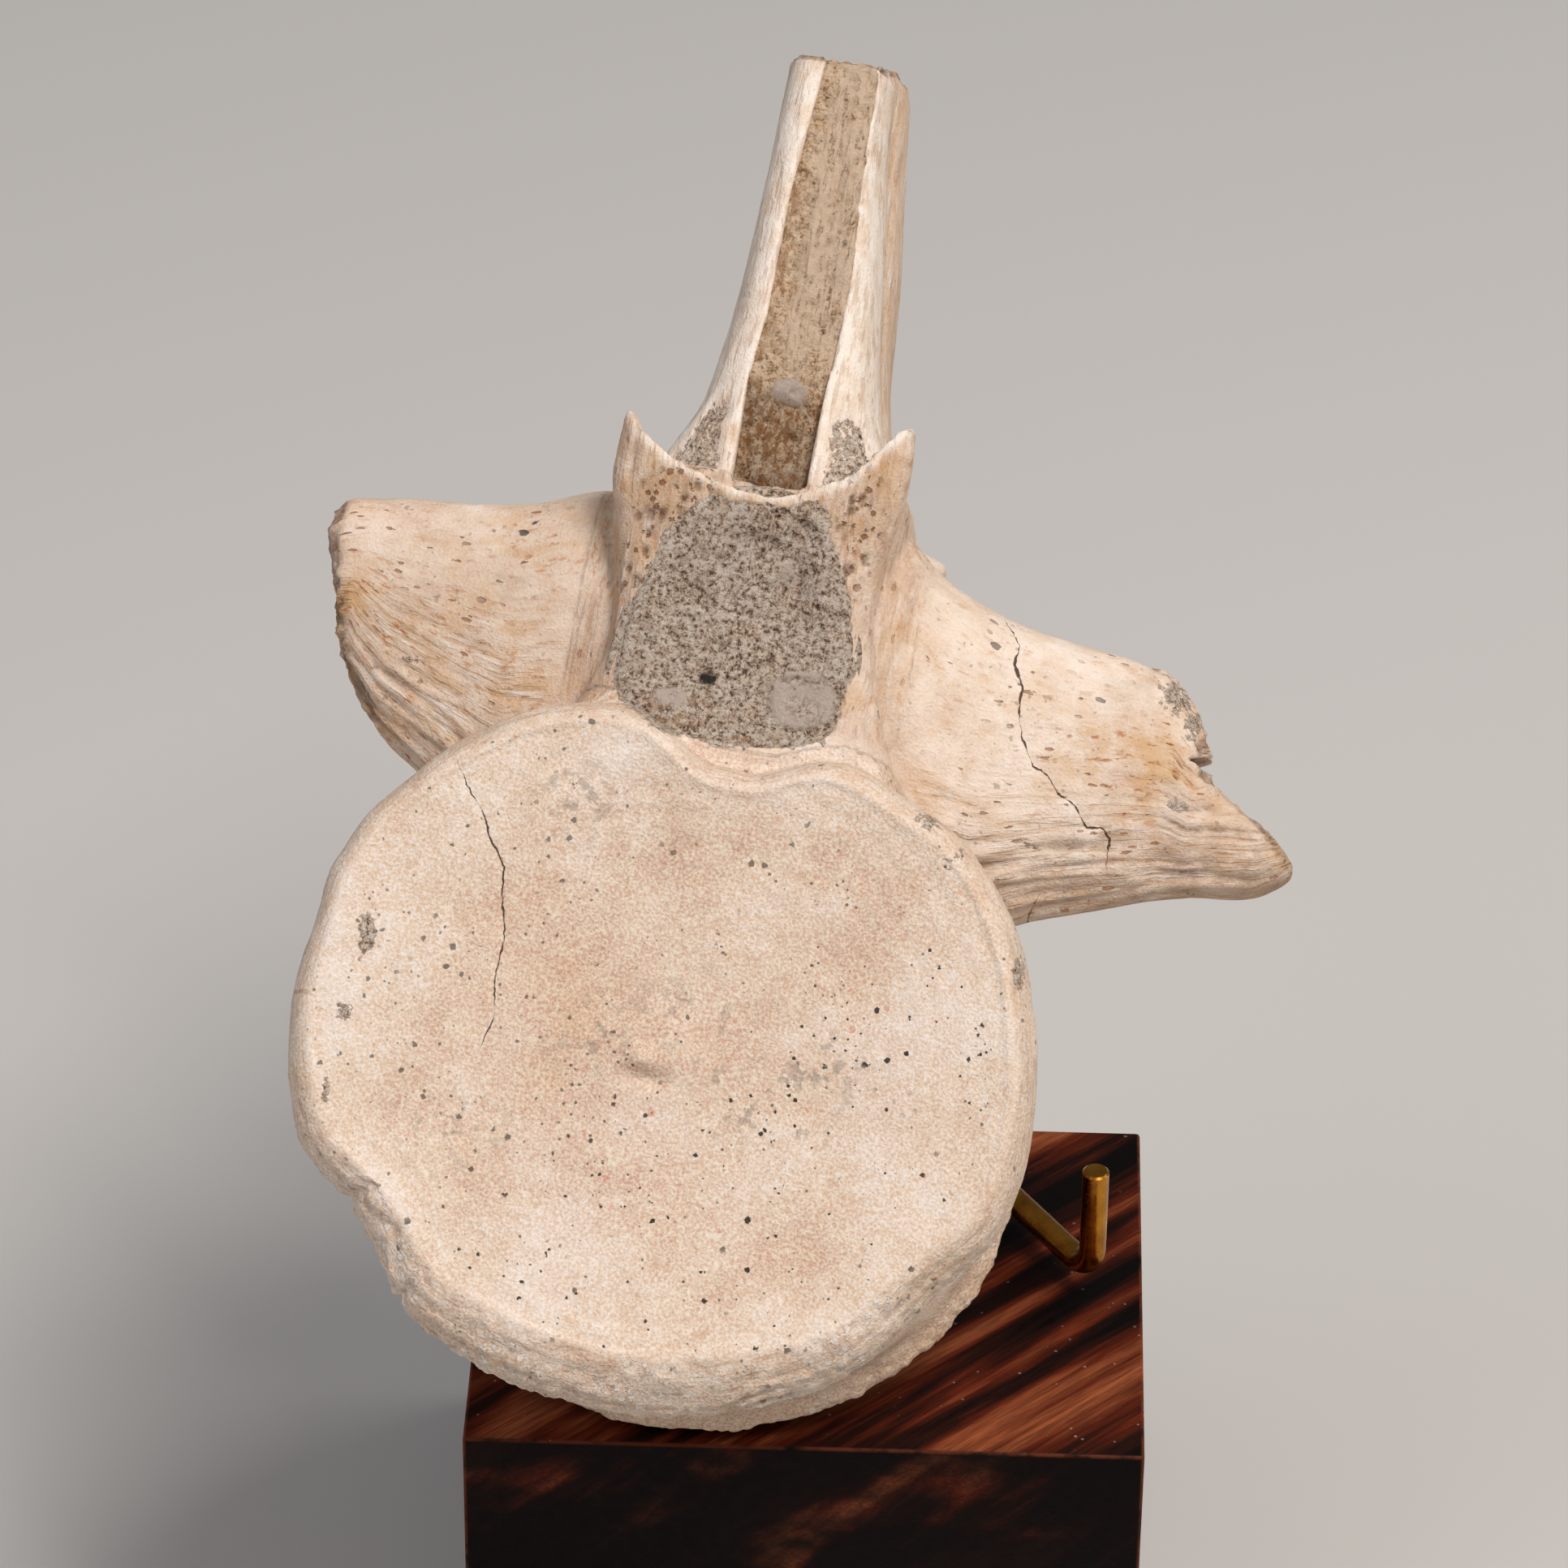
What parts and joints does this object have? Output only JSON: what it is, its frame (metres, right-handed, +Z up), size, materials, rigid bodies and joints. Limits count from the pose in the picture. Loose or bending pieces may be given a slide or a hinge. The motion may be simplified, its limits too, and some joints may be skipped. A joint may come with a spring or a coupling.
{
  "type": "fossil vertebra",
  "caption": "Fossil mosasaur dorsal vertebra with rock-filled canal, tilted on a dark wood block and held by bent brass rods.",
  "frame": {"origin": "centre of the wood block's underside, on the surface it stands on", "axes": "+Z up, -Y towards the viewer's side of the block, +X to the viewer's right"},
  "size_m": [0.1103, 0.1433, 0.1888],
  "materials": {
    "fossil_bone": "dry, matt, finely striated fossil bone",
    "canal_rock": "grainy grey-brown sandy rock",
    "spine_rock": "grainy brown sandy rock",
    "walnut": "oiled dark hardwood, satin",
    "brass_right": "polished",
    "brass_left": "polished",
    "brass_prop": "polished"
  },
  "bodies": {
    "root": {"vertebra": "fossil_bone", "canal_matrix": "canal_rock", "spine_matrix": "spine_rock", "stand_block": "walnut", "stand_arm_right": "brass_right", "stand_arm_left": "brass_left", "stand_prop": "brass_prop"}
  },
  "joints": []
}
